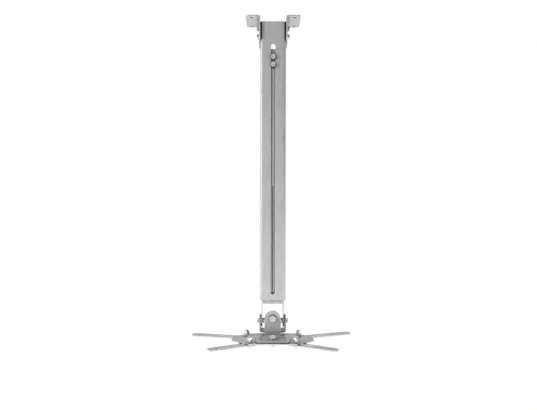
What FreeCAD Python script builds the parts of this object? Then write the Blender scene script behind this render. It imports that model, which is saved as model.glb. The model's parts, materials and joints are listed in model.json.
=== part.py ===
"""Ceiling mount for a video projector: a telescopic steel column that hangs from
two angle brackets, with a head that tilts, rolls and swivels and four slotted arms.

Millimetres, +Z up. The origin is the centre of the four ceiling holes, on the
ceiling plane. +X is to the right and -Y towards the viewer of the slotted face.
"""
import FreeCAD, Part
import math
import os

V = FreeCAD.Vector

# Outer column: a lipped channel, open at the back
COLUMN_WIDTH = 57.0
COLUMN_DEPTH = 52.0
COLUMN_WALL = 2.5
COLUMN_LIP = 9.0
COLUMN_BEND = 5.5
COLUMN_TOP_DROP = 11.8
COLUMN_LENGTH = 614.7
SLOT_WIDTH = 9.5
SLOT_TOP_MARGIN = 49.3
SLOT_BOTTOM_MARGIN = 13.4

# Inner column: a rectangular tube whose side walls run on as a fork
INNER_SIDE_PLAY = 1.25
INNER_BACK_PLAY = 1.0
INNER_WALL = 2.0
INNER_BEND = 4.0
INNER_TOP_DROP = 10.8
INNER_PAST_COLUMN = 8.0
FORK_NECK_HALF = 19.0
FORK_NECK_DROP = 16.0
CABLE_SLOT_WIDTH = 2.2
CABLE_SLOT_LENGTH = 237.0
CABLE_EYE = 6.4
CABLE_EYE_RISE = 23.5

# Clearance between pieces that move past each other
GAP = 0.3

# Ceiling brackets
CEILING_PLATE = 3.0
CEILING_BEND = 2.0
CEILING_EAR = 60.6
CEILING_DEPTH = 64.0
CEILING_EAR_CORNER = 6.0
CEILING_CHEEK_DROP = 55.5
CEILING_CHEEK_CORNER = 14.0
CEILING_HOLE = 6.5
CEILING_PITCH_X = 96.0
CEILING_PITCH_Y = 48.0
SIDE_BOLT_Y = -10.0
SIDE_BOLT_DROP = 10.2
SIDE_BOLT_PITCH = 18.5

# Length screws in the slot
LENGTH_BOLT_DROP = 18.3
LENGTH_BOLT_PITCH = 17.0
NUT_PLATE_WIDTH = 34.0
NUT_PLATE_MARGIN = 9.5
NUT_PLATE_THICK = 4.0
NUT_PLATE_CORNER = 2.0

# Tilting head: pivot heights and the stirrup
TILT_DROP = 42.2
ROLL_RISE = 9.7
FORK_HALF_DEPTH = 15.0
STIRRUP_PLATE = 3.0
STIRRUP_BEND = 2.0
STIRRUP_DROP = 20.3
STIRRUP_HALF_DEPTH = 15.0
FRICTION_DISC = 1.5
FRICTION_DISC_MARGIN = 3.0
TONGUE_HALF = 18.0
TONGUE_RISE = 16.0

# Swivel bracket: a tongue with a wider foot in front of it
SWIVEL_REACH = 38.7
FOOT_DROP = 1.2
FOOT_PLATE = 3.0
FOOT_BEND = 2.0
FOOT_HALF_WIDTH = 36.0
FOOT_HALF_DEPTH = 20.0
FOOT_CORNER = 6.0

# Spider plate
SPIDER_PLATE = 2.5
SPIDER_MID_OFFSET = 16.0
SPIDER_HALF_DEPTH = 40.0
SPIDER_SHOULDER = 50.0
SPIDER_TIP = 88.0
SPIDER_TIP_HALF = 16.0
SPIDER_CORNER = 5.0

# Arms: width, section, slot and end hole, and how each one stands
ARM_WIDTH = 20.0
ARM_PLATE = 2.5
ARM_SLOT_MARGIN = 7.5
ARM_SLOT_END = 52.0
ARM_END_HOLE = 5.5
ARM_END_HOLE_INSET = 19.0
REAR_ARM = 138.0
FRONT_ARM = 112.0
REAR_POST_OUT = 6.5
FRONT_POST_IN = 1.0
REAR_POST_EDGE = 21.0
FRONT_POST_EDGE = 11.0
REAR_ARM_INSET = 11.0
FRONT_ARM_INSET = 20.0
REAR_LEFT_ANGLE = 10.5
REAR_RIGHT_ANGLE = 18.0
FRONT_LEFT_ANGLE = 25.0
FRONT_RIGHT_ANGLE = 25.5

# Standard fasteners. root is the diameter between the ridges of the thread
M6 = {"shank": 6.0, "root": 5.0, "hole": 6.4, "flats": 10.0, "head": 4.0, "nut": 5.0,
      "washer": 12.0, "sheet": 1.2}
M8 = {"shank": 8.0, "root": 6.8, "hole": 8.4, "flats": 13.0, "head": 5.3, "nut": 6.5,
      "washer": 17.0, "sheet": 1.6}
POST_WASHER = 16.0
THREAD_FIT = 0.05
THREAD_POINT = 0.6
THREAD_PAST_NUT = 2.4

# Share of the corner radius at which the chamfer of a hexagon starts, the turn that
# lays one of its flats upwards, the width and depth of the dish in a bolt head as
# shares of its flats and its height, and the share of a half width that makes a
# full round end and still leaves a hair of straight edge
HEX_CROWN = 0.9
HEX_FLAT_UP = 30.0
DISH_SHARE = 0.55
DISH_DEPTH = 0.2
FULL_ROUND = 0.9999

# Places that follow from the sizes above
column_top = -COLUMN_TOP_DROP
column_bottom = column_top - COLUMN_LENGTH
slot_top = column_top - SLOT_TOP_MARGIN
slot_bottom = column_bottom + SLOT_BOTTOM_MARGIN
column_half = COLUMN_WIDTH / 2
column_front = -COLUMN_DEPTH / 2
column_back = COLUMN_DEPTH / 2
inner_half = column_half - COLUMN_WALL - INNER_SIDE_PLAY
inner_front = column_front + COLUMN_WALL + GAP
inner_back = column_back - COLUMN_WALL - INNER_BACK_PLAY
inner_top = slot_top - INNER_TOP_DROP
inner_front_bottom = column_bottom - INNER_PAST_COLUMN
cable_eye_z = inner_front_bottom + CABLE_EYE_RISE
cheek_face = column_half + CEILING_PLATE
tilt_z = inner_front_bottom - TILT_DROP
roll_z = tilt_z + ROLL_RISE
stirrup_inner = inner_half + GAP + FRICTION_DISC
stirrup_outer = stirrup_inner + STIRRUP_PLATE
stirrup_top = tilt_z - STIRRUP_DROP
tongue_top = roll_z + TONGUE_RISE
ear_front = -STIRRUP_HALF_DEPTH - STIRRUP_PLATE
tongue_back = ear_front - GAP
tongue_front = tongue_back - FOOT_PLATE
foot_top = stirrup_top - STIRRUP_PLATE - FOOT_DROP
swivel_y = tongue_front - SWIVEL_REACH
spider_mid_y = swivel_y + SPIDER_MID_OFFSET
spider_top = foot_top - FOOT_PLATE - GAP
spider_bottom = spider_top - SPIDER_PLATE
arm_top = spider_bottom - GAP
arm_bottom = arm_top - ARM_PLATE


def place(plane, a, b, c=0.0):
    """A point from two coordinates in a plane and one across it."""
    return {"XY": V(a, b, c), "XZ": V(a, c, b), "YZ": V(c, a, b)}[plane]


def across(plane, length):
    """The vector that leads across a plane."""
    return {"XY": V(0, 0, length), "XZ": V(0, length, 0), "YZ": V(length, 0, 0)}[plane]


def sheet(plane, corners, start, length):
    """Extrude a closed outline across its plane.

    corners holds (a, b) or (a, b, radius); a radius rounds that corner.
    """
    corners = [tuple(corner) + (0.0,) * (3 - len(corner)) for corner in corners]
    runs = []
    for index, (a, b, radius) in enumerate(corners):
        before = corners[index - 1]
        after = corners[(index + 1) % len(corners)]
        back = FreeCAD.Vector(before[0] - a, before[1] - b, 0).normalize()
        ahead = FreeCAD.Vector(after[0] - a, after[1] - b, 0).normalize()
        here = V(a, b, 0)
        if radius <= 0:
            runs.append((here, None, here))
            continue
        half = back.getAngle(ahead) / 2
        reach = radius / math.tan(half)
        bisector = (back + ahead).normalize()
        middle = here + bisector * (radius / math.sin(half) - radius)
        runs.append((here + back * reach, middle, here + ahead * reach))
    edges = []
    for index, (enter, middle, leave) in enumerate(runs):
        if middle is not None:
            points = [place(plane, p.x, p.y, start) for p in (enter, middle, leave)]
            edges.append(Part.Arc(*points).toShape())
        following = runs[(index + 1) % len(runs)][0]
        if leave.distanceToPoint(following) > 1e-6:
            edges.append(Part.makeLine(place(plane, leave.x, leave.y, start),
                                       place(plane, following.x, following.y, start)))
    return Part.Face(Part.Wire(edges)).extrude(across(plane, length))


def rod(diameter, start, direction, length):
    """A round bar from a point along a direction."""
    return Part.makeCylinder(diameter / 2, length, start, direction)


def slot_cutter(plane, a, b, half_a, half_b, start, length):
    """A slot with round ends, or a round hole where both halves are equal."""
    radius = min(half_a, half_b) * FULL_ROUND
    corners = [(a - half_a, b - half_b, radius), (a + half_a, b - half_b, radius),
               (a + half_a, b + half_b, radius), (a - half_a, b + half_b, radius)]
    return sheet(plane, corners, start, length)


def hex_prism(flats, start, direction, length, turn=0.0):
    """A hexagonal bar whose faces are chamfered round at the far end."""
    corner = flats / math.sqrt(3)
    flat = [V(corner * math.cos(math.radians(turn + 60 * i)),
              corner * math.sin(math.radians(turn + 60 * i)), 0) for i in range(7)]
    bar = Part.Face(Part.makePolygon(flat)).extrude(V(0, 0, length))
    crown = corner * HEX_CROWN
    bar = bar.common(Part.makeCone(crown + length * math.sqrt(3), crown, length,
                                   V(0, 0, 0), V(0, 0, 1)))
    bar.Placement = FreeCAD.Placement(start, FreeCAD.Rotation(V(0, 0, 1), direction))
    return bar


def ring(outer, inner, start, direction, thick):
    """A flat washer."""
    return rod(outer, start, direction, thick).cut(rod(inner, start, direction, thick))


def bolt(size, under_head, into, grip, free, turn=0.0):
    """A hexagon bolt: under_head is the seat of its head, into points along its shank.

    grip is the length under the head up to the outer face of its nut, and free the
    thread that stands out of the nut.
    """
    head = hex_prism(size["flats"], under_head, into * -1, size["head"], turn)
    dish_depth = size["head"] * DISH_DEPTH
    dish = size["flats"] * DISH_SHARE / 2
    dish_floor = under_head - into * (size["head"] - dish_depth)
    head = head.cut(Part.makeCone(dish - dish_depth, dish, dish_depth, dish_floor, into * -1))
    shank = rod(size["shank"], under_head, into, grip)
    root = size["root"] / 2
    thread = rod(2 * root, under_head + into * grip, into, free - THREAD_POINT)
    point = Part.makeCone(root, root - THREAD_POINT, THREAD_POINT,
                          under_head + into * (grip + free - THREAD_POINT), into)
    return head.fuse([shank, thread, point]).removeSplitter()


def nut(size, seat, away, turn=0.0):
    """A hexagon nut that sits on seat and grows away from it."""
    body = hex_prism(size["flats"], seat, away, size["nut"], turn)
    return body.cut(rod(size["shank"] + 2 * THREAD_FIT, seat, away, size["nut"]))


def washer(size, seat, away, outer=None):
    """A washer of a fastener's size that sits on seat."""
    return ring(outer or size["washer"], size["hole"], seat, away, size["sheet"])


def group(solids):
    """Several separate solids that share one node."""
    return Part.makeCompound(solids)


def ceiling_bracket(side):
    """An angle bracket: an ear against the ceiling and a cheek against the column."""
    inner = column_half
    outer = cheek_face
    half = CEILING_DEPTH / 2
    profile = [(inner, -CEILING_CHEEK_DROP), (outer, -CEILING_CHEEK_DROP),
               (outer, -CEILING_PLATE, CEILING_BEND), (CEILING_EAR, -CEILING_PLATE),
               (CEILING_EAR, 0), (inner, 0, CEILING_BEND + CEILING_PLATE)]
    shape = sheet("XZ", profile, -half, CEILING_DEPTH)
    ear = [(0, -half), (CEILING_EAR, -half, CEILING_EAR_CORNER),
           (CEILING_EAR, half, CEILING_EAR_CORNER), (0, half)]
    cheek = [(-half, 0), (-half, -CEILING_CHEEK_DROP, CEILING_CHEEK_CORNER),
             (half, -CEILING_CHEEK_DROP, CEILING_CHEEK_CORNER), (half, 0)]
    shape = shape.common(sheet("XY", ear, -CEILING_CHEEK_DROP, CEILING_CHEEK_DROP))
    shape = shape.common(sheet("YZ", cheek, 0, CEILING_EAR))
    for y in (-CEILING_PITCH_Y / 2, CEILING_PITCH_Y / 2):
        start = V(CEILING_PITCH_X / 2, y, -CEILING_PLATE)
        shape = shape.cut(rod(CEILING_HOLE, start, V(0, 0, 1), CEILING_PLATE))
    for z in side_bolt_heights():
        shape = shape.cut(rod(M6["hole"], V(inner, SIDE_BOLT_Y, z), V(1, 0, 0), CEILING_PLATE))
    if side < 0:
        shape = shape.mirror(V(0, 0, 0), V(1, 0, 0))
    return shape


def side_bolt_heights():
    """Heights of the two bolts that hold the column in each ceiling bracket."""
    top = column_top - SIDE_BOLT_DROP
    return (top, top - SIDE_BOLT_PITCH)


def length_bolt_heights():
    """Heights of the two screws that clamp the column at its length."""
    top = inner_top - LENGTH_BOLT_DROP
    return (top, top - LENGTH_BOLT_PITCH)


def outer_column():
    """The slotted channel with its two lips."""
    w, t, lip = column_half, COLUMN_WALL, COLUMN_LIP
    front, back = column_front, column_back
    bend_in = COLUMN_BEND - COLUMN_WALL
    profile = [(-w + lip, back), (-w, back, COLUMN_BEND), (-w, front, COLUMN_BEND),
               (w, front, COLUMN_BEND), (w, back, COLUMN_BEND), (w - lip, back),
               (w - lip, back - t), (w - t, back - t, bend_in), (w - t, front + t, bend_in),
               (-w + t, front + t, bend_in), (-w + t, back - t, bend_in), (-w + lip, back - t)]
    shape = sheet("XY", profile, column_bottom, COLUMN_LENGTH)
    middle = (slot_top + slot_bottom) / 2
    shape = shape.cut(slot_cutter("XZ", 0, middle, SLOT_WIDTH / 2, (slot_top - slot_bottom) / 2,
                                  front, t))
    for z in side_bolt_heights():
        shape = shape.cut(rod(M6["hole"], V(-w, SIDE_BOLT_Y, z), V(1, 0, 0), 2 * w))
    return shape


def inner_column():
    """The sliding tube: screw holes and a cable slot in front, a fork below."""
    w, t = inner_half, INNER_WALL
    front, back = inner_front, inner_back
    bend_in = INNER_BEND - t
    bottom = tilt_z - FORK_HALF_DEPTH
    outside = [(-w, back, INNER_BEND), (-w, front, INNER_BEND),
               (w, front, INNER_BEND), (w, back, INNER_BEND)]
    inside = [(-w + t, back - t, bend_in), (-w + t, front + t, bend_in),
              (w - t, front + t, bend_in), (w - t, back - t, bend_in)]
    height = inner_top - bottom
    shape = sheet("XY", outside, bottom, height).cut(sheet("XY", inside, bottom, height))
    neck, cheek = FORK_NECK_HALF, FORK_HALF_DEPTH
    knee = inner_front_bottom - FORK_NECK_DROP
    round_end = cheek * FULL_ROUND
    side = [(front, inner_top), (front, inner_front_bottom), (-neck, inner_front_bottom),
            (-cheek, knee), (-cheek, bottom, round_end), (cheek, bottom, round_end),
            (cheek, knee), (neck, inner_front_bottom), (back, inner_front_bottom),
            (back, inner_top)]
    shape = shape.common(sheet("YZ", side, -w, 2 * w))
    gap = w - t
    shape = shape.cut(Part.makeBox(2 * gap, back - front, inner_front_bottom - bottom,
                                   V(-gap, front, bottom)))
    for z in length_bolt_heights():
        shape = shape.cut(rod(M6["hole"], V(0, front, z), V(0, 1, 0), t))
    half = CABLE_SLOT_LENGTH / 2
    shape = shape.cut(slot_cutter("XZ", 0, cable_eye_z + half,
                                  CABLE_SLOT_WIDTH / 2, half, front, t))
    shape = shape.cut(rod(CABLE_EYE, V(0, front, cable_eye_z), V(0, 1, 0), t))
    return shape.cut(rod(M6["hole"], V(-w, 0, tilt_z), V(1, 0, 0), 2 * w))


def nut_plate():
    """The threaded plate behind the front wall of the inner column."""
    heights = length_bolt_heights()
    low = min(heights) - NUT_PLATE_MARGIN
    high = max(heights) + NUT_PLATE_MARGIN
    start = inner_front + INNER_WALL
    half = NUT_PLATE_WIDTH / 2
    r = NUT_PLATE_CORNER
    corners = [(-half, low, r), (half, low, r), (half, high, r), (-half, high, r)]
    shape = sheet("XZ", corners, start, NUT_PLATE_THICK)
    for z in heights:
        bore = M6["shank"] + 2 * THREAD_FIT
        shape = shape.cut(rod(bore, V(0, start, z), V(0, 1, 0), NUT_PLATE_THICK))
    return shape


def tilt_bracket():
    """A stirrup over the fork, with an ear turned up at the front."""
    t = STIRRUP_PLATE
    inner, outer = stirrup_inner, stirrup_outer
    top, under = stirrup_top, stirrup_top - t
    half = STIRRUP_HALF_DEPTH
    crown = tilt_z + half
    bend_out = STIRRUP_BEND + t
    profile = [(-outer, crown), (-outer, under, bend_out), (outer, under, bend_out),
               (outer, crown), (inner, crown), (inner, top, STIRRUP_BEND),
               (-inner, top, STIRRUP_BEND), (-inner, crown)]
    shape = sheet("XZ", profile, -half, 2 * half)
    round_end = half * FULL_ROUND
    side = [(-half, under), (half, under), (half, crown, round_end), (-half, crown, round_end)]
    shape = shape.common(sheet("YZ", side, -outer, 2 * outer))
    ear = [(half, top), (half, under), (ear_front, under, bend_out), (ear_front, tongue_top),
           (ear_front + t, tongue_top), (ear_front + t, top, STIRRUP_BEND)]
    shape = shape.fuse(tongue_shape(ear, under)).removeSplitter()
    shape = shape.cut(rod(M6["hole"], V(-outer, 0, tilt_z), V(1, 0, 0), 2 * outer))
    return shape.cut(rod(M8["hole"], V(0, ear_front, roll_z), V(0, 1, 0), t))


def tongue_shape(profile, low):
    """A bent tongue with a round top, from its side profile."""
    w = TONGUE_HALF
    blank = sheet("YZ", profile, -w, 2 * w)
    round_end = w * FULL_ROUND
    outline = [(-w, low), (w, low), (w, tongue_top, round_end), (-w, tongue_top, round_end)]
    start = min(point[0] for point in profile)
    reach = max(point[0] for point in profile) - start
    return blank.common(sheet("XZ", outline, start, reach))


def swivel_bracket():
    """The rolling tongue and the foot that carries the swivel bolt."""
    t = FOOT_PLATE
    top, under = foot_top, foot_top - t
    rear = swivel_y + FOOT_HALF_DEPTH
    front = swivel_y - FOOT_HALF_DEPTH
    half = FOOT_HALF_WIDTH
    profile = [(tongue_back, tongue_top), (tongue_back, under, FOOT_BEND + t), (rear, under),
               (rear, top), (tongue_front, top, FOOT_BEND), (tongue_front, tongue_top)]
    shape = tongue_shape(profile, under)
    corner = FOOT_CORNER
    foot = [(-half, front, corner), (half, front, corner), (half, rear, corner),
            (-half, rear, corner)]
    shape = shape.fuse(sheet("XY", foot, under, t)).removeSplitter()
    shape = shape.cut(rod(M8["hole"], V(0, tongue_front, roll_z), V(0, 1, 0), t))
    return shape.cut(rod(M8["hole"], V(0, swivel_y, under), V(0, 0, 1), t))


def spider_plate():
    """The six-sided plate that carries the arms."""
    rear = spider_mid_y + SPIDER_HALF_DEPTH
    front = spider_mid_y - SPIDER_HALF_DEPTH
    low, high = spider_mid_y - SPIDER_TIP_HALF, spider_mid_y + SPIDER_TIP_HALF
    r = SPIDER_CORNER
    right = [(SPIDER_SHOULDER, front, r), (SPIDER_TIP, low, r),
             (SPIDER_TIP, high, r), (SPIDER_SHOULDER, rear, r)]
    left = [(-x, y, radius) for x, y, radius in reversed(right)]
    shape = sheet("XY", right + left, spider_bottom, SPIDER_PLATE)
    shape = shape.cut(rod(M8["hole"], V(0, swivel_y, spider_bottom), V(0, 0, 1), SPIDER_PLATE))
    for arm in ARMS:
        start = V(arm["x"], arm["y"], spider_bottom)
        shape = shape.cut(rod(M6["hole"], start, V(0, 0, 1), SPIDER_PLATE))
    return shape


def arm_stand(name, side, end, length, inset, angle):
    """Where an arm's post stands and how the arm lies on it."""
    post_x = SPIDER_SHOULDER + (REAR_POST_OUT if end > 0 else -FRONT_POST_IN)
    edge = REAR_POST_EDGE if end > 0 else FRONT_POST_EDGE
    post_y = spider_mid_y + end * (SPIDER_HALF_DEPTH - edge)
    heading = angle if side > 0 else 180.0 - angle
    if end < 0:
        heading = -heading
    return {"name": name, "x": side * post_x, "y": post_y, "length": length, "inset": inset,
            "heading": heading}


ARMS = (arm_stand("rear_left", -1, 1, REAR_ARM, REAR_ARM_INSET, REAR_LEFT_ANGLE),
        arm_stand("rear_right", 1, 1, REAR_ARM, REAR_ARM_INSET, REAR_RIGHT_ANGLE),
        arm_stand("front_left", -1, -1, FRONT_ARM, FRONT_ARM_INSET, FRONT_LEFT_ANGLE),
        arm_stand("front_right", 1, -1, FRONT_ARM, FRONT_ARM_INSET, FRONT_RIGHT_ANGLE))


def arm_bar(arm):
    """A flat bar with a long slot, laid from its post outwards."""
    half = ARM_WIDTH / 2
    end = half * FULL_ROUND
    low, high = -arm["inset"], arm["length"] - arm["inset"]
    corners = [(low, -half, end), (high, -half, end), (high, half, end), (low, half, end)]
    shape = sheet("XY", corners, arm_bottom, ARM_PLATE)
    slot_low = low + ARM_SLOT_MARGIN
    slot_high = high - ARM_SLOT_END
    shape = shape.cut(slot_cutter("XY", (slot_low + slot_high) / 2, 0,
                                  (slot_high - slot_low) / 2, M6["hole"] / 2,
                                  arm_bottom, ARM_PLATE))
    hole = V(high - ARM_END_HOLE_INSET, 0, arm_bottom)
    shape = shape.cut(rod(ARM_END_HOLE, hole, V(0, 0, 1), ARM_PLATE))
    shape.rotate(V(0, 0, 0), V(0, 0, 1), arm["heading"])
    shape.translate(V(arm["x"], arm["y"], 0))
    return shape


def side_fasteners():
    """Bolts, washers and nuts that join the column to the ceiling brackets."""
    bolts, washers, nuts = [], [], []
    for side in (-1, 1):
        into = V(-side, 0, 0)
        for z in side_bolt_heights():
            seat = V(side * cheek_face, SIDE_BOLT_Y, z)
            under_head = seat - into * M6["sheet"]
            nut_seat = V(side * (column_half - COLUMN_WALL), SIDE_BOLT_Y, z)
            grip = (under_head - nut_seat).Length + M6["nut"]
            bolts.append(bolt(M6, under_head, into, grip, THREAD_PAST_NUT))
            washers.append(washer(M6, seat, into * -1))
            nuts.append(nut(M6, nut_seat, into))
    return bolts, washers, nuts


def length_fasteners():
    """Bolts and washers that run in the slot and clamp on the nut plate."""
    bolts, washers = [], []
    into = V(0, 1, 0)
    plate_end = inner_front + INNER_WALL + NUT_PLATE_THICK
    for z in length_bolt_heights():
        seat = V(0, column_front - GAP, z)
        under_head = seat - into * M6["sheet"]
        bolts.append(bolt(M6, under_head, into, plate_end - under_head.y, THREAD_PAST_NUT))
        washers.append(washer(M6, seat, into * -1))
    return bolts, washers


def tilt_fasteners():
    """Bolts, washers, friction washers and nuts of the tilt pivot."""
    bolts, washers, discs, nuts = [], [], [], []
    for side in (-1, 1):
        into = V(-side, 0, 0)
        seat = V(side * stirrup_outer, 0, tilt_z)
        under_head = seat - into * M6["sheet"]
        nut_seat = V(side * (inner_half - INNER_WALL - GAP), 0, tilt_z)
        grip = (under_head - nut_seat).Length + M6["nut"]
        bolts.append(bolt(M6, under_head, into, grip, THREAD_PAST_NUT))
        washers.append(washer(M6, seat, into * -1))
        nuts.append(nut(M6, nut_seat, into))
        disc_seat = V(side * stirrup_inner, 0, tilt_z)
        outer = 2 * (FORK_HALF_DEPTH - FRICTION_DISC_MARGIN)
        discs.append(ring(outer, M6["hole"], disc_seat, into, FRICTION_DISC))
    return bolts, washers, discs, nuts


def roll_fasteners():
    """Bolt, washers and nut of the roll pivot, all turning with the tongue."""
    into = V(0, 1, 0)
    front_seat = V(0, tongue_front, roll_z)
    rear_seat = V(0, ear_front + STIRRUP_PLATE + GAP, roll_z)
    under_head = front_seat - into * M8["sheet"]
    nut_seat = rear_seat + into * M8["sheet"]
    grip = nut_seat.y - under_head.y + M8["nut"]
    washers = [washer(M8, front_seat, into * -1), washer(M8, rear_seat, into)]
    pivot = bolt(M8, under_head, into, grip, THREAD_PAST_NUT, HEX_FLAT_UP)
    return pivot, washers, nut(M8, nut_seat, into, HEX_FLAT_UP)


def swivel_fasteners():
    """Bolt, washers and nut of the swivel, all turning with the spider plate."""
    into = V(0, 0, -1)
    top_seat = V(0, swivel_y, foot_top + GAP)
    low_seat = V(0, swivel_y, spider_bottom)
    under_head = top_seat - into * M8["sheet"]
    nut_seat = low_seat + into * M8["sheet"]
    grip = under_head.z - nut_seat.z + M8["nut"]
    washers = [washer(M8, top_seat, into * -1), washer(M8, low_seat, into)]
    return bolt(M8, under_head, into, grip, THREAD_PAST_NUT), washers, nut(M8, nut_seat, into)


def post_fasteners(arm):
    """The bolt, washer, nut and locknut on which one arm turns and slides."""
    up = V(0, 0, 1)
    under_head = V(arm["x"], arm["y"], arm_bottom - GAP)
    seat = V(arm["x"], arm["y"], spider_top + GAP)
    nut_seat = seat + up * M6["sheet"]
    lock_seat = nut_seat + up * M6["nut"]
    grip = lock_seat.z - under_head.z + M6["nut"]
    nuts = [nut(M6, nut_seat, up), nut(M6, lock_seat, up, HEX_FLAT_UP)]
    return (bolt(M6, under_head, up, grip, THREAD_PAST_NUT), washer(M6, seat, up, POST_WASHER),
            group(nuts))


def build():
    """Every node of the mount, by name."""
    nodes = {"ceiling_bracket_left": ceiling_bracket(-1),
             "ceiling_bracket_right": ceiling_bracket(1),
             "outer_column": outer_column(),
             "inner_column": inner_column(),
             "length_nut_plate": nut_plate(),
             "tilt_bracket": tilt_bracket(),
             "swivel_bracket": swivel_bracket(),
             "spider_plate": spider_plate()}
    bolts, washers, nuts = side_fasteners()
    nodes.update(ceiling_bolts=group(bolts), ceiling_washers=group(washers),
                 ceiling_nuts=group(nuts))
    bolts, washers = length_fasteners()
    nodes.update(length_bolts=group(bolts), length_washers=group(washers))
    bolts, washers, discs, nuts = tilt_fasteners()
    nodes.update(tilt_bolts=group(bolts), tilt_washers=group(washers),
                 tilt_friction_discs=group(discs), tilt_nuts=group(nuts))
    pivot, washers, locknut = roll_fasteners()
    nodes.update(roll_bolt=pivot, roll_washers=group(washers), roll_nut=locknut)
    pivot, washers, locknut = swivel_fasteners()
    nodes.update(swivel_bolt=pivot, swivel_washers=group(washers), swivel_nut=locknut)
    for arm in ARMS:
        nodes["arm_" + arm["name"]] = arm_bar(arm)
        post, disc, top = post_fasteners(arm)
        nodes["post_bolt_" + arm["name"]] = post
        nodes["post_washer_" + arm["name"]] = disc
        nodes["post_nuts_" + arm["name"]] = top
    return nodes


def main():
    """Write one file for each node."""
    os.makedirs("parts", exist_ok=True)
    for name, shape in build().items():
        if not shape.isValid():
            raise RuntimeError(name + " is not a valid solid")
        shape.exportStep("parts/" + name + ".step")
        print(name, len(shape.Solids), round(shape.Volume, 1))


main()
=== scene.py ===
"""Looks of a telescopic projector ceiling mount: finishes, bolt threads and a studio."""
import json
import math
from typing import NamedTuple

import bmesh
import bpy
from bpy.props import FloatProperty, FloatVectorProperty, PointerProperty
from mathutils import Matrix, Vector

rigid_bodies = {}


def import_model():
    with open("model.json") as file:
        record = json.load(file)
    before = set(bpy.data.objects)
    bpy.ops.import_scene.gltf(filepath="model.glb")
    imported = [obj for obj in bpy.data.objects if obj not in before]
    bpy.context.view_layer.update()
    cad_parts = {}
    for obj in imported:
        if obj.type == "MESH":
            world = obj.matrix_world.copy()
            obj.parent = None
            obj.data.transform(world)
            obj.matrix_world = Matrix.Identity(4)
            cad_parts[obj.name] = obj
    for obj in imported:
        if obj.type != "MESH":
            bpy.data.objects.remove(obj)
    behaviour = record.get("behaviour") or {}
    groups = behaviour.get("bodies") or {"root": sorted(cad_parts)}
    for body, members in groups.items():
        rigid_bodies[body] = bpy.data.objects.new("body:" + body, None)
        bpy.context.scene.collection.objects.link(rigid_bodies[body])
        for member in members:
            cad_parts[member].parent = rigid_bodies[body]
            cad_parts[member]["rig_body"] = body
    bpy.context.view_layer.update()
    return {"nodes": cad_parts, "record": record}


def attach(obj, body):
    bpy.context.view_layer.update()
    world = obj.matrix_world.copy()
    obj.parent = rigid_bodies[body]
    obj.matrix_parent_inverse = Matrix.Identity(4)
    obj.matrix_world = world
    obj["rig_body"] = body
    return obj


bl_info = {
    "name": "Projector Ceiling Mount Looks",
    "version": (1, 0, 0),
    "blender": (4, 5, 0),
    "location": "View3D > Sidebar > Ceiling Mount",
    "description": "Finishes, bolt threads and a studio for a telescopic ceiling mount",
    "category": "3D View",
}

WHITE = (1.0, 1.0, 1.0, 1.0)
# Samples of the nodes that look for near surfaces and for edges
NEAR_SAMPLES = 16
EDGE_SAMPLES = 4

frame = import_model()
SLOT_OF = {entry["node"]: entry["material_slot"] for entry in frame["record"]["subparts"]}
FINISH_OF = {entry["slot"]: entry for entry in frame["record"]["materials"]}


def slot_colour(slot):
    """The base colour that the record gives for a material slot."""
    return tuple(FINISH_OF[slot]["base_color"][:3])


def shade(colour, factor):
    """A colour made darker or lighter."""
    return tuple(min(1.0, channel * factor) for channel in colour)


class Shadow(NamedTuple):
    """Shadow of surfaces within reach: the tone falls from 1 at openness clear to low at shut."""
    reach: float
    shut: float
    clear: float
    low: float


class Field:
    """A value that changes over a surface. Python operators on it add Math nodes."""

    def __init__(self, graph, socket):
        self.graph = graph
        self.socket = socket

    def __add__(self, other):
        return self.graph.maths("ADD", self, other)

    def __sub__(self, other):
        return self.graph.maths("SUBTRACT", self, other)

    def __mul__(self, other):
        return self.graph.maths("MULTIPLY", self, other)

    def __truediv__(self, other):
        return self.graph.maths("DIVIDE", self, other)

    __radd__ = __add__

    def swing(self, amount):
        """How far the field stands above or below its middle of 0.5, times amount."""
        return (self - 0.5) * amount


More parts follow.
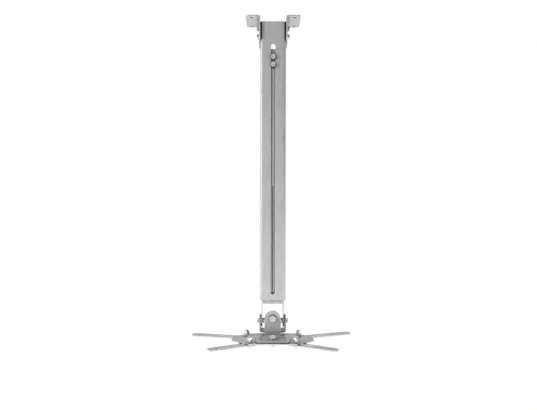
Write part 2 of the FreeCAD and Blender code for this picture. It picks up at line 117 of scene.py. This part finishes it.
class Graph:
    """The nodes of one tree. Every node in this file comes from its node method."""

    def __init__(self, tree):
        self.tree = tree
        tree.nodes.clear()

    def node(self, kind, settings=None, values=None, out=0):
        """Add a node: settings first, then the values or links of its sockets."""
        made = self.tree.nodes.new(kind)
        for key, value in (settings or {}).items():
            if key == "stops":
                self.set_stops(made.color_ramp, value)
            else:
                setattr(made, key, value)
        for key, value in (values or {}).items():
            self.feed(made.inputs[key], value)
        return Field(self, made.outputs[out]) if made.outputs else None

    def feed(self, socket, value):
        """Link a field to a socket, or set a plain value on it."""
        if isinstance(value, Field):
            self.tree.links.new(value.socket, socket)
        else:
            socket.default_value = value

    def set_stops(self, ramp, stops):
        """Give a ramp its (position, grey) stops."""
        while len(ramp.elements) < len(stops):
            ramp.elements.new(1.0)
        for element, (position, grey) in zip(ramp.elements, stops):
            element.position = position
            element.color = (grey, grey, grey, 1.0)

    def maths(self, operation, *values):
        """One Math node on values or fields."""
        return self.node("ShaderNodeMath", {"operation": operation}, dict(enumerate(values)))

    def place(self, stretch=(1.0, 1.0, 1.0)):
        """Object coordinates in metres, squeezed along each axis by stretch."""
        where = self.node("ShaderNodeTexCoord", out="Object")
        return self.node("ShaderNodeMapping", values={"Vector": where, "Scale": stretch})

    def noise(self, scale, detail, stretch=(1.0, 1.0, 1.0)):
        """Noise from 0 to 1 with its scale in cycles per metre."""
        return self.node("ShaderNodeTexNoise", {"normalize": True},
                         {"Vector": self.place(stretch), "Scale": scale, "Detail": detail})

    def cells(self, scale):
        """A random grey for each small crystal of a surface."""
        spots = self.node("ShaderNodeTexVoronoi", {"feature": "F1"},
                          {"Vector": self.place(), "Scale": scale}, out="Color")
        return self.node("ShaderNodeSeparateColor", values={"Color": spots}, out="Red")

    def between(self, low, high, share):
        """A colour between two colours."""
        return self.node("ShaderNodeMix", {"data_type": "RGBA"},
                         {0: share, 6: (*low, 1.0), 7: (*high, 1.0)}, out=2)

    def tones(self, colour, factors, share):
        """A colour between two tones of itself, each given as a factor."""
        low, high = factors
        return self.between(shade(colour, low), shade(colour, high), share)

    def ramp(self, value, stops):
        """A grey curve through stops."""
        return self.node("ShaderNodeValToRGB", {"stops": stops}, {"Fac": value})

    def openness(self, shadow):
        """0 where a shadow is at its darkest and 1 in the open."""
        near = self.node("ShaderNodeAmbientOcclusion", {"samples": NEAR_SAMPLES},
                         {"Distance": shadow.reach}, out="AO")
        return self.ramp(near, [(shadow.shut, 0.0), (shadow.clear, 1.0)])

    def edge(self, radius):
        """0 on flat faces, and more than 0 within this radius of a bend or an edge."""
        soft = self.node("ShaderNodeBevel", {"samples": EDGE_SAMPLES}, {"Radius": radius})
        true = self.node("ShaderNodeNewGeometry", out="True Normal")
        same = self.node("ShaderNodeVectorMath", {"operation": "DOT_PRODUCT"}, {0: soft, 1: true},
                         out="Value")
        return self.maths("SUBTRACT", 1.0, same)

    def darken(self, colour, share, low):
        """A colour multiplied by low where share is 0 and left as it is where share is 1."""
        tint = self.between((low, low, low), (1.0, 1.0, 1.0), share)
        return self.node("ShaderNodeMix", {"data_type": "RGBA", "blend_type": "MULTIPLY"},
                         {0: 1.0, 6: colour, 7: tint}, out=2)

    def bump(self, height, depth, strength, edge):
        """A surface normal from a height field, over edges softened by a small radius."""
        soft = self.node("ShaderNodeBevel", {"samples": EDGE_SAMPLES}, {"Radius": edge})
        return self.node("ShaderNodeBump", values={"Height": height, "Distance": depth,
                                                   "Strength": strength, "Normal": soft})

    def light_path(self, kind):
        """1 for light rays of this kind and 0 for the others."""
        return self.node("ShaderNodeLightPath", out="Is " + kind + " Ray")

    def surface(self, **sockets):
        """Close the tree with a Principled shader that takes these sockets."""
        names = {key.replace("_", " ").title(): value for key, value in sockets.items()}
        shader = self.node("ShaderNodeBsdfPrincipled", values=names)
        self.node("ShaderNodeOutputMaterial", values={"Surface": shader})


def new_material(name):
    """An empty material and the graph of its nodes."""
    material = bpy.data.materials.new(name)
    material.use_nodes = True
    return material, Graph(material.node_tree)


# The silver coat's darkest and lightest tones as shares of its colour
COAT_TONES = (0.88, 1.76)
# Streaks are coarser than specks by this share, and long along the column
STREAK_SCALE = 0.45
STREAK_STRETCH = (1.0, 1.0, 0.12)
COAT_CLOUD_SCALE = 14.0
# How much each pattern weighs in the coat's tone
SPECK_WEIGHT = 0.35
STREAK_WEIGHT = 0.4
CLOUD_WEIGHT = 0.25
MOTTLE_STOPS = [(0.36, 0.0), (0.64, 0.25)]
# How much streaks and clouds change the coat's roughness
STREAK_ROUGHNESS = 0.16
CLOUD_ROUGHNESS = 0.12
# The relief of the coat, in metres, and the share of the streaks in it
COAT_RELIEF = 0.00003
STREAK_RELIEF = 0.5
# How far the coat's edges look rounded, in metres
COAT_EDGE = 0.0008
# Painted highlight: the lighter line along bends and edges
GLINT_RADIUS = 0.0017
GLINT_STOPS = [(0.01, 0.0), (0.16, 0.8)]
# The coat's shadows in narrow gaps, round fittings and deep inside the tubes
GAP_SHADOW = Shadow(reach=0.006, shut=0.42, clear=0.88, low=0.05)
WIDE_SHADOW = Shadow(reach=0.012, shut=0.50, clear=0.95, low=0.58)
DEEP_SHADOW = Shadow(reach=0.05, shut=0.12, clear=0.42, low=0.15)


def silver_coat(settings):
    """Satin silver coat on steel sheet: a fine mottle, faint rolling streaks and cloudy patches."""
    material, graph = new_material("silver_coat")
    speck = graph.noise(scale=settings.speck_scale, detail=2.0)
    streak = graph.noise(scale=settings.speck_scale * STREAK_SCALE, detail=3.0, stretch=STREAK_STRETCH)
    cloud = graph.noise(scale=COAT_CLOUD_SCALE, detail=4.0)
    tone = speck * SPECK_WEIGHT + streak * STREAK_WEIGHT + cloud * CLOUD_WEIGHT
    mottle = graph.ramp(tone, MOTTLE_STOPS)
    gap_open = graph.openness(GAP_SHADOW)
    wide_open = graph.openness(WIDE_SHADOW)
    deep_open = graph.openness(DEEP_SHADOW)
    # Painted highlight along bends and edges, weaker in hollows
    glint = graph.ramp(graph.edge(GLINT_RADIUS), GLINT_STOPS) * settings.edge_glint
    colour = graph.tones(settings.coat_colour, COAT_TONES, mottle + glint * wide_open)
    colour = graph.darken(colour, gap_open, GAP_SHADOW.low)
    colour = graph.darken(colour, wide_open, WIDE_SHADOW.low)
    colour = graph.darken(colour, deep_open, DEEP_SHADOW.low)
    rough = settings.coat_roughness + streak.swing(STREAK_ROUGHNESS) + cloud.swing(CLOUD_ROUGHNESS)
    relief = speck + streak * STREAK_RELIEF
    normal = graph.bump(relief, COAT_RELIEF, settings.coat_bump, COAT_EDGE)
    graph.surface(base_color=colour, metallic=settings.coat_metal, roughness=rough, normal=normal)
    return material


# The bright zinc's darkest and lightest tones as shares of its colour
ZINC_TONES = (1.0, 1.3)
ZINC_METAL = 0.8
# Clouds and flecks per metre, and how much each weighs in the zinc's tone
ZINC_CLOUD_SCALE = 420.0
FLECK_SCALE = 1900.0
ZINC_CLOUD_WEIGHT = 0.65
FLECK_WEIGHT = 0.35
FACET_STOPS = [(0.28, 0.0), (0.72, 1.0)]
# How much clouds and flecks change the zinc's roughness
ZINC_CLOUD_ROUGHNESS = 0.14
FLECK_ROUGHNESS = 0.05
# The relief of the zinc, in metres, and the share of the flecks in it
ZINC_RELIEF = 0.00002
FLECK_RELIEF = 0.4
# How strongly the relief of zinc and nylon shows, and how far their edges look rounded
SMALL_RELIEF_STRENGTH = 0.3
SMALL_EDGE = 0.0003
# The zinc's shadow in corners
CORNER_SHADOW = Shadow(reach=0.004, shut=0.35, clear=0.90, low=0.06)


def zinc_plate(settings):
    """Bright zinc on bolts, nuts and washers: small facets of tone and a worn satin shine."""
    material, graph = new_material("zinc_plate")
    cloud = graph.noise(scale=ZINC_CLOUD_SCALE, detail=3.0)
    fleck = graph.cells(FLECK_SCALE)
    facets = graph.ramp(cloud * ZINC_CLOUD_WEIGHT + fleck * FLECK_WEIGHT, FACET_STOPS)
    colour = graph.tones(settings.zinc_colour, ZINC_TONES, facets)
    rough = settings.zinc_roughness + cloud.swing(ZINC_CLOUD_ROUGHNESS) + fleck * FLECK_ROUGHNESS
    colour = graph.darken(colour, graph.openness(CORNER_SHADOW), CORNER_SHADOW.low)
    relief = cloud + fleck * FLECK_RELIEF
    normal = graph.bump(relief, ZINC_RELIEF, SMALL_RELIEF_STRENGTH, SMALL_EDGE)
    graph.surface(base_color=colour, metallic=ZINC_METAL, roughness=rough, normal=normal)
    return material


# The nylon's darkest and lightest tones as shares of its colour
NYLON_TONES = (0.8, 1.3)
NYLON_CLOUD_SCALE = 180.0
# The nylon's least roughness, and how much its clouds add
NYLON_ROUGHNESS = 0.45
NYLON_CLOUD_ROUGHNESS = 0.2
# The relief of the nylon, in metres
NYLON_RELIEF = 0.00005


def dark_nylon(settings):
    """Moulded nylon of the friction discs."""
    material, graph = new_material("dark_nylon")
    cloud = graph.noise(scale=NYLON_CLOUD_SCALE, detail=3.0)
    colour = graph.tones(settings.nylon_colour, NYLON_TONES, cloud)
    rough = NYLON_ROUGHNESS + cloud * NYLON_CLOUD_ROUGHNESS
    normal = graph.bump(cloud, NYLON_RELIEF, SMALL_RELIEF_STRENGTH, SMALL_EDGE)
    graph.surface(base_color=colour, roughness=rough, normal=normal)
    return material


def dress(slot, material):
    """Give one material to every node of a material slot."""
    nodes = [node for name, node in frame["nodes"].items() if SLOT_OF[name] == slot]
    if not nodes:
        raise RuntimeError("no node has the material slot " + slot)
    for node in nodes:
        node.data.materials.clear()
        node.data.materials.append(material)


def find_material(name):
    """A finish that an earlier operator made."""
    material = bpy.data.materials.get(name)
    if material is None:
        raise RuntimeError("the finish " + name + " has to be made first")
    return material


# The row axis along which each bolt lies: 0 for X, 1 for Y, 2 for Z
BOLT_AXES = {"ceiling_bolts": 0, "tilt_bolts": 0, "length_bolts": 1, "roll_bolt": 1,
             "swivel_bolt": 2, "post_bolt_rear_left": 2, "post_bolt_rear_right": 2,
             "post_bolt_front_left": 2, "post_bolt_front_right": 2}
# Points of a bolt closer than this many metres are one point
WELD_DISTANCE = 1e-6
# The decimal places of a metre to which the points of one ring round a bolt agree
RING_DIGITS = 5
# The smallest step in radius, in metres, at the shoulder of a bolt's bare end
SHOULDER_STEP = 0.0002
# The crest radius in metres above which a bolt has the large pitch
LARGE_CREST = 0.0035
# The ridge heights that a thread leaves free along the bare end
THREAD_ROOM = 2.2
# The steps in one turn of the ridge, and the corners of its section
TURN_STEPS = 24
RIDGE_CORNERS = 4
# The named inputs of the thread's node tree
THREAD_INPUTS = {"Length": "NodeSocketFloat", "Pitch": "NodeSocketFloat",
                 "Root Radius": "NodeSocketFloat", "Ridge": "NodeSocketFloat",
                 "Finish": "NodeSocketMaterial"}


def thread_tree():
    """A node tree that winds a sharp ridge round the Z axis as a screw thread."""
    tree = bpy.data.node_groups.new("screw_thread", "GeometryNodeTree")
    for way in ("INPUT", "OUTPUT"):
        tree.interface.new_socket("Geometry", in_out=way, socket_type="NodeSocketGeometry")
    for name, kind in THREAD_INPUTS.items():
        tree.interface.new_socket(name, in_out="INPUT", socket_type=kind)
    graph = Graph(tree)
    given = {name: graph.node("NodeGroupInput", out=name) for name in THREAD_INPUTS}
    spiral = graph.node("GeometryNodeCurveSpiral", values={
        "Resolution": TURN_STEPS, "Rotations": given["Length"] / given["Pitch"],
        "Height": given["Length"], "Start Radius": given["Root Radius"],
        "End Radius": given["Root Radius"]})
    path = graph.node("GeometryNodeSetCurveNormal", {"mode": "Z_UP"}, {"Curve": spiral})
    profile = graph.node("GeometryNodeCurvePrimitiveCircle", values={
        "Resolution": RIDGE_CORNERS, "Radius": given["Ridge"]})
    ridge = graph.node("GeometryNodeCurveToMesh", values={
        "Curve": path, "Profile Curve": profile, "Fill Caps": True})
    ridge = graph.node("GeometryNodeRealizeInstances", values={"Geometry": ridge})
    ridge = graph.node("GeometryNodeSetMaterial", values={
        "Geometry": ridge, "Material": given["Finish"]})
    graph.node("NodeGroupOutput", values={"Geometry": ridge})
    return tree


def grow(tree, name, values):
    """A plain mesh from a node tree, with its inputs given by name."""
    seed = bpy.data.objects.new(name, bpy.data.meshes.new(name + "_seed"))
    bpy.context.scene.collection.objects.link(seed)
    maker = seed.modifiers.new("maker", "NODES")
    maker.node_group = tree
    keys = {item.name: item.identifier for item in tree.interface.items_tree
            if item.item_type == "SOCKET" and item.in_out == "INPUT"}
    for label, value in values.items():
        maker[keys[label]] = value
    bpy.context.view_layer.update()
    evaluated = seed.evaluated_get(bpy.context.evaluated_depsgraph_get())
    mesh = bpy.data.meshes.new_from_object(evaluated)
    bpy.data.objects.remove(seed)
    return mesh


def join_meshes(name, meshes, material):
    """One object at the origin from several placed meshes."""
    vertices, faces = [], []
    for mesh in meshes:
        start = len(vertices)
        vertices.extend(tuple(vertex.co) for vertex in mesh.vertices)
        faces.extend(tuple(start + index for index in face.vertices) for face in mesh.polygons)
        bpy.data.meshes.remove(mesh)
    joined = bpy.data.meshes.new(name)
    joined.from_pydata(vertices, [], faces)
    joined.materials.append(material)
    piece = bpy.data.objects.new(name, joined)
    bpy.context.scene.collection.objects.link(piece)
    return piece


def islands(node):
    """The corner points of each separate solid in a node."""
    mesh = bmesh.new()
    mesh.from_mesh(frame["nodes"][node].data)
    bmesh.ops.remove_doubles(mesh, verts=mesh.verts, dist=WELD_DISTANCE)
    waiting = set(mesh.verts)
    found = []
    while waiting:
        reached = [waiting.pop()]
        members = list(reached)
        while reached:
            corner = reached.pop()
            for link in corner.link_edges:
                other = link.other_vert(corner)
                if other in waiting:
                    waiting.remove(other)
                    reached.append(other)
                    members.append(other)
        found.append([corner.co.copy() for corner in members])
    mesh.free()
    return found


def free_end(points, axis):
    """The bare end of one bolt: shoulder, way to the tip, length, root radius and crest radius."""
    centre = []
    for index in range(3):
        places = [point[index] for point in points]
        centre.append((min(places) + max(places)) / 2)
    rings = {}
    for point in points:
        radius = math.hypot(*(point[index] - centre[index] for index in range(3) if index != axis))
        rings.setdefault(round(point[axis], RING_DIGITS), []).append(radius)
    sign = 1.0 if max(rings[max(rings)]) < max(rings[min(rings)]) else -1.0
    tip = max(place * sign for place in rings) * sign
    steps = [place for place, radii in rings.items() if max(radii) - min(radii) > SHOULDER_STEP]
    shoulder = min(steps, key=lambda place: abs(tip - place))
    centre[axis] = shoulder
    way = Vector((0.0, 0.0, 0.0))
    way[axis] = sign
    return Vector(centre), way, abs(tip - shoulder), min(rings[shoulder]), max(rings[shoulder])


def wind_thread(tree, bare_end, settings, finish):
    """The thread ridge on the bare end of one bolt, in place."""
    shoulder, way, length, root, crest = bare_end
    ridge = crest - root
    pitch = settings.large_pitch if crest > LARGE_CREST else settings.small_pitch
    mesh = grow(tree, "thread", {"Length": length - THREAD_ROOM * ridge, "Pitch": pitch,
                                 "Root Radius": root, "Ridge": ridge, "Finish": finish})
    turn = way.to_track_quat("Z", "Y").to_matrix().to_4x4()
    mesh.transform(Matrix.Translation(shoulder + way * ridge) @ turn)
    return mesh


class Lamp(NamedTuple):
    """A square soft lamp: where it stands, what it points at and the length of its sides."""
    name: str
    place: tuple
    target: tuple
    size: float


class Card(NamedTuple):
    """An upright card between two (x, y) places, with its tone in stops from its foot to its top."""
    name: str
    left: tuple
    right: tuple
    low: float
    high: float
    stops: list
    level: float = 1.0


KEY_LAMP = Lamp("key_lamp", place=(-1.6, -1.0, 0.1), target=(0.0, 0.0, -0.5), size=0.6)
FILL_LAMP = Lamp("fill_lamp", place=(0.3, -0.6, -1.25), target=(0.0, 0.0, 0.0), size=1.2)
# The cards stand in front, to the right, behind, to the left and low on the right, in this order
CARDS = [
    Card("front_card", left=(-1.3, -1.9), right=(1.0, -1.9), low=-1.3, high=1.7,
         stops=[(0.0, 0.74), (0.35, 0.7), (0.48, 0.58), (0.58, 0.44), (0.66, 0.25), (1.0, 0.2)]),
    Card("side_card", left=(0.1, -1.85), right=(2.1, -1.3), low=-0.6, high=1.7,
         stops=[(0.0, 0.08), (1.0, 0.02)]),
    Card("back_card", left=(2.6, 1.9), right=(-2.6, 1.9), low=-1.2, high=1.7,
         stops=[(0.0, 1.0), (0.2, 1.0), (0.32, 0.5), (1.0, 0.5)], level=1.25),
    Card("left_card", left=(-2.6, -0.6), right=(-1.3, -1.9), low=-1.3, high=1.0,
         stops=[(0.0, 1.0), (1.0, 1.0)], level=1.6),
    Card("low_card", left=(1.0, -1.9), right=(2.3, -0.6), low=-1.3, high=-0.6,
         stops=[(0.0, 1.0), (1.0, 1.0)], level=1.9),
]
# Half the side of the square floor, in metres, and its two pale tones
FLOOR_HALF = 6.0
FLOOR_TONES = ((0.84, 0.84, 0.85), (0.90, 0.90, 0.90))
FLOOR_CLOUD_SCALE = 3.0
# The share of its own glow that the floor shows to the camera
FLOOR_GLOW = 0.75
# The camera's sensor in millimetres, and the picture in pixels
SENSOR_WIDTH = 36.0
PICTURE_WIDTH = 537.0


def add_sheet(name, corners, material):
    """A flat piece of the studio from its four corners."""
    mesh = bpy.data.meshes.new(name)
    mesh.from_pydata(corners, [], [(0, 1, 2, 3)])
    mesh.materials.append(material)
    sheet = bpy.data.objects.new(name, mesh)
    bpy.context.scene.collection.objects.link(sheet)
    return sheet


def lay_floor(settings):
    """A pale floor that takes shadows, and looks white to the camera and in reflections."""
    material, graph = new_material("pale_floor")
    cloud = graph.noise(scale=FLOOR_CLOUD_SCALE, detail=2.0)
    colour = graph.between(*FLOOR_TONES, cloud)
    matte = graph.node("ShaderNodeBsdfDiffuse", values={"Color": colour})
    glow = graph.node("ShaderNodeEmission", values={"Strength": settings.floor_level})
    mirrored = graph.light_path("Glossy") + graph.light_path("Transmission")
    share = graph.maths("MINIMUM", mirrored + graph.light_path("Camera") * FLOOR_GLOW, 1.0)
    mixed = graph.node("ShaderNodeMixShader", values={0: share, 1: matte, 2: glow})
    graph.node("ShaderNodeOutputMaterial", values={"Surface": mixed})
    ways = ((-1, -1), (1, -1), (1, 1), (-1, 1))
    corners = [(x * FLOOR_HALF, y * FLOOR_HALF, settings.floor_height) for x, y in ways]
    add_sheet("floor", corners, material)


def add_card(card):
    """Stand up a card that shows only in reflections."""
    material, graph = new_material(card.name)
    height = graph.node("ShaderNodeSeparateXYZ", values={"Vector": graph.place()}, out="Z")
    tone = graph.ramp((height - card.low) / (card.high - card.low), card.stops)
    glow = graph.node("ShaderNodeEmission", values={"Color": tone, "Strength": card.level})
    graph.node("ShaderNodeOutputMaterial", values={"Surface": glow})
    corners = [(*card.left, card.low), (*card.right, card.low),
               (*card.right, card.high), (*card.left, card.high)]
    sheet = add_sheet(card.name, corners, material)
    sheet.visible_camera = False
    sheet.visible_diffuse = False
    sheet.visible_transmission = False
    sheet.visible_shadow = False


def add_lamp(lamp, power):
    """Hang a lamp that doesn't show in reflections."""
    data = bpy.data.lights.new(lamp.name, "AREA")
    data.size = lamp.size
    data.energy = power
    light = bpy.data.objects.new(lamp.name, data)
    light.location = lamp.place
    aim = Vector(lamp.target) - Vector(lamp.place)
    light.rotation_euler = aim.to_track_quat("-Z", "Y").to_euler()
    light.visible_glossy = False
    bpy.context.scene.collection.objects.link(light)


def light_room(scene, settings):
    """A room that looks white, soft light from all round, two lamps and the reflection cards."""
    world = bpy.data.worlds.new("white_room")
    world.use_nodes = True
    scene.world = world
    graph = Graph(world.node_tree)
    seen = graph.maths("MAXIMUM", graph.light_path("Camera"), graph.light_path("Glossy"))
    seen = graph.maths("MAXIMUM", seen, graph.light_path("Transmission"))
    soft = graph.node("ShaderNodeBackground", values={"Color": WHITE, "Strength": settings.room_light})
    white = graph.node("ShaderNodeBackground", values={"Color": WHITE, "Strength": 1.0})
    mixed = graph.node("ShaderNodeMixShader", values={0: seen, 1: soft, 2: white})
    graph.node("ShaderNodeOutputWorld", values={"Surface": mixed})
    add_lamp(KEY_LAMP, settings.key_power)
    add_lamp(FILL_LAMP, settings.fill_power)
    for card in CARDS:
        add_card(card)


def aim_camera(scene, settings):
    """The photograph's view: straight at the slotted face, and level but for a slight lean."""
    data = bpy.data.cameras.new("camera")
    data.sensor_width = SENSOR_WIDTH
    data.lens = settings.focal_pixels / PICTURE_WIDTH * SENSOR_WIDTH
    camera = bpy.data.objects.new("camera", data)
    camera.location = settings.camera_place
    camera.rotation_euler = (math.radians(90.0), math.radians(settings.camera_roll), 0.0)
    scene.collection.objects.link(camera)
    scene.camera = camera


class CoatSettings(bpy.types.PropertyGroup):
    """Colours and shine of the finishes."""
    coat_colour: FloatVectorProperty(
        name="Coat colour", description="Colour of the silver coat", subtype="COLOR",
        default=slot_colour("silver_paint"), min=0.0, max=1.0)
    coat_roughness: FloatProperty(
        name="Coat roughness", description="How dull the silver coat is", default=0.32,
        min=0.0, max=1.0)
    coat_metal: FloatProperty(
        name="Coat metal", description="How metallic the silver coat is", default=0.5,
        min=0.0, max=1.0)
    coat_bump: FloatProperty(
        name="Coat texture", description="Strength of the coat's fine texture", default=0.35,
        min=0.0, max=1.0)
    # Strength of the painted highlight along the coat's edges
    edge_glint: FloatProperty(
        name="Edge glint", description="How much lighter the coat is along edges", default=1.0,
        min=0.0, max=1.0)
    speck_scale: FloatProperty(
        name="Speck scale", description="Specks in a metre of the coat", default=520.0, min=1.0)
    zinc_colour: FloatVectorProperty(
        name="Zinc colour", description="Colour of the bright zinc", subtype="COLOR",
        default=slot_colour("zinc"), min=0.0, max=1.0)
    zinc_roughness: FloatProperty(
        name="Zinc roughness", description="How dull the zinc is", default=0.16, min=0.0, max=1.0)
    nylon_colour: FloatVectorProperty(
        name="Nylon colour", description="Colour of the friction discs", subtype="COLOR",
        default=slot_colour("nylon"), min=0.0, max=1.0)


class ThreadSettings(bpy.types.PropertyGroup):
    """Pitches of the screw threads."""
    small_pitch: FloatProperty(
        name="Small pitch", description="Pitch of the 6 mm threads", default=0.001, unit="LENGTH")
    large_pitch: FloatProperty(
        name="Large pitch", description="Pitch of the 8 mm threads", default=0.00125,
        unit="LENGTH")


class StudioSettings(bpy.types.PropertyGroup):
    """Camera, lamps, room and floor."""
    camera_place: FloatVectorProperty(
        name="Camera place", description="Where the camera stands", subtype="XYZ",
        default=(-0.0097, -1.026, -0.4162), unit="LENGTH")
    focal_pixels: FloatProperty(
        name="Focal length", description="Focal length in pixels of a picture 537 wide",
        default=454.5)
    camera_roll: FloatProperty(
        name="Camera roll", description="Lean of the picture in degrees", default=-0.12)
    floor_height: FloatProperty(
        name="Floor height", description="Height of the floor, measured from the ceiling",
        default=-1.32, unit="LENGTH")
    key_power: FloatProperty(
        name="Key power", description="Power of the soft lamp on the left", default=40.0,
        unit="POWER")
    fill_power: FloatProperty(
        name="Fill power", description="Power of the wide lamp near the floor", default=14.0,
        unit="POWER")
    room_light: FloatProperty(
        name="Room light", description="Level of the light from all round", default=0.4, min=0.0)
    floor_level: FloatProperty(
        name="Floor level", description="How bright the floor's own glow is", default=1.25,
        min=0.0)


class MOUNT_OT_silver_coat(bpy.types.Operator):
    """Coat the column, the brackets, the plates and the arms"""
    bl_idname = "ceiling_mount.silver_coat"
    bl_label = "Coat the Steel Sheet"

    def execute(self, context):
        dress("silver_paint", silver_coat(context.scene.mount_coat))
        return {"FINISHED"}


class MOUNT_OT_zinc_plate(bpy.types.Operator):
    """Plate the bolts, nuts and washers"""
    bl_idname = "ceiling_mount.zinc_plate"
    bl_label = "Plate the Fasteners"

    def execute(self, context):
        dress("zinc", zinc_plate(context.scene.mount_coat))
        return {"FINISHED"}


class MOUNT_OT_nylon_discs(bpy.types.Operator):
    """Finish the friction discs of the tilt pivot"""
    bl_idname = "ceiling_mount.nylon_discs"
    bl_label = "Finish the Friction Discs"

    def execute(self, context):
        dress("nylon", dark_nylon(context.scene.mount_coat))
        return {"FINISHED"}


class MOUNT_OT_threads(bpy.types.Operator):
    """Wind the screw thread on the bare end of every bolt"""
    bl_idname = "ceiling_mount.threads"
    bl_label = "Wind the Threads"

    def execute(self, context):
        settings = context.scene.mount_thread
        finish = find_material("zinc_plate")
        tree = thread_tree()
        for node, axis in BOLT_AXES.items():
            bare_ends = [free_end(points, axis) for points in islands(node)]
            meshes = [wind_thread(tree, bare_end, settings, finish) for bare_end in bare_ends]
            piece = join_meshes("threads_" + node, meshes, finish)
            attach(piece, frame["nodes"][node]["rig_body"])
        return {"FINISHED"}


class MOUNT_OT_studio(bpy.types.Operator):
    """Set up the camera, the soft lamps, the pale floor, the reflection cards and the white room"""
    bl_idname = "ceiling_mount.studio"
    bl_label = "Set Up the Studio"

    def execute(self, context):
        settings = context.scene.mount_studio
        lay_floor(settings)
        light_room(context.scene, settings)
        aim_camera(context.scene, settings)
        context.scene.view_settings.view_transform = "Standard"
        return {"FINISHED"}


class MOUNT_PT_panel(bpy.types.Panel):
    """Lists the steps and their settings"""
    bl_idname = "MOUNT_PT_panel"
    bl_label = "Ceiling Mount"
    bl_space_type = "VIEW_3D"
    bl_region_type = "UI"
    bl_category = "Ceiling Mount"

    def draw(self, context):
        layout = self.layout
        for operator in OPERATORS:
            layout.operator(operator.bl_idname)
        for name in GROUPS:
            settings = getattr(context.scene, name)
            for key in settings.__annotations__:
                layout.prop(settings, key)


OPERATORS = (MOUNT_OT_silver_coat, MOUNT_OT_zinc_plate, MOUNT_OT_nylon_discs, MOUNT_OT_threads,
             MOUNT_OT_studio)
GROUPS = {"mount_coat": CoatSettings, "mount_thread": ThreadSettings, "mount_studio": StudioSettings}


def register():
    """Register the classes and hang their settings on the scene."""
    for group in GROUPS.values():
        bpy.utils.register_class(group)
    for operator in OPERATORS:
        bpy.utils.register_class(operator)
    bpy.utils.register_class(MOUNT_PT_panel)
    for name, group in GROUPS.items():
        setattr(bpy.types.Scene, name, PointerProperty(type=group))


def unregister():
    """Take the settings and the classes away again."""
    for name in GROUPS:
        delattr(bpy.types.Scene, name)
    bpy.utils.unregister_class(MOUNT_PT_panel)
    for operator in reversed(OPERATORS):
        bpy.utils.unregister_class(operator)
    for group in reversed(GROUPS.values()):
        bpy.utils.unregister_class(group)


def main():
    """Run every step in order."""
    register()
    bpy.ops.ceiling_mount.silver_coat()
    bpy.ops.ceiling_mount.zinc_plate()
    bpy.ops.ceiling_mount.nylon_discs()
    bpy.ops.ceiling_mount.threads()
    bpy.ops.ceiling_mount.studio()


if __name__ == "__main__":
    main()
